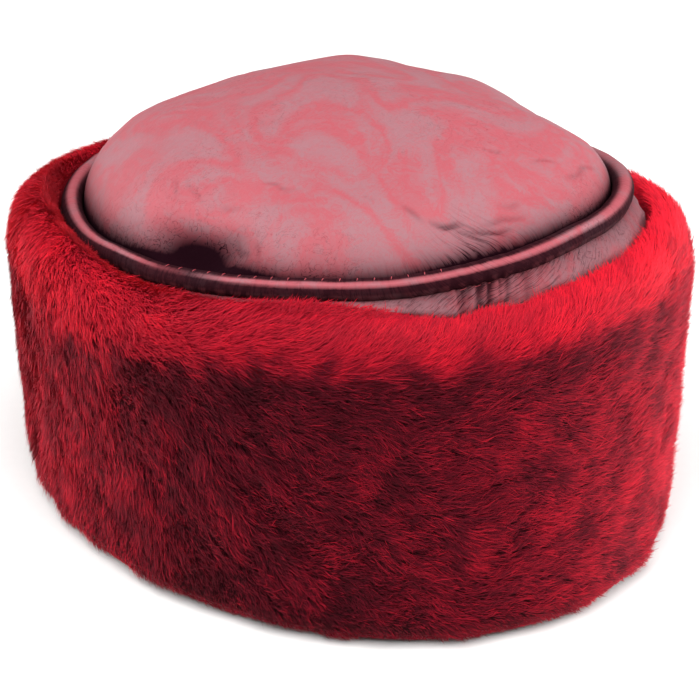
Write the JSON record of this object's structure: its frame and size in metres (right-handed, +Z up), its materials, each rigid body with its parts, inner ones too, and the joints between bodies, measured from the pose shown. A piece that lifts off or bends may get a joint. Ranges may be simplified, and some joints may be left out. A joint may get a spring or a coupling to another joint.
{
  "type": "kubanka hat",
  "caption": "Low kubanka hat with a tall dyed fur band that rolls over at the top, a padded marbled-leather crown and fat leather piping.",
  "frame": {"origin": "middle of the hat's lower edge, on the surface that it rests on", "axes": "+Z up through the crown, +Y along the long axis of the head towards the back of the hat, +X to its side"},
  "size_m": [0.2144, 0.257, 0.1339],
  "materials": {
    "dyed_fur": "dense dyed fur, deep red with burgundy depths",
    "side_leather": "soft burgundy leather, satin",
    "piping_leather": "gathered burgundy leather, satin with rubbed top",
    "crown_leather": "two-tone marbled leather, burgundy over red, satin"
  },
  "bodies": {
    "root": {"fur_band": "dyed_fur", "crown_side": "side_leather", "crown_piping": "piping_leather", "crown_top": "crown_leather"}
  },
  "joints": []
}
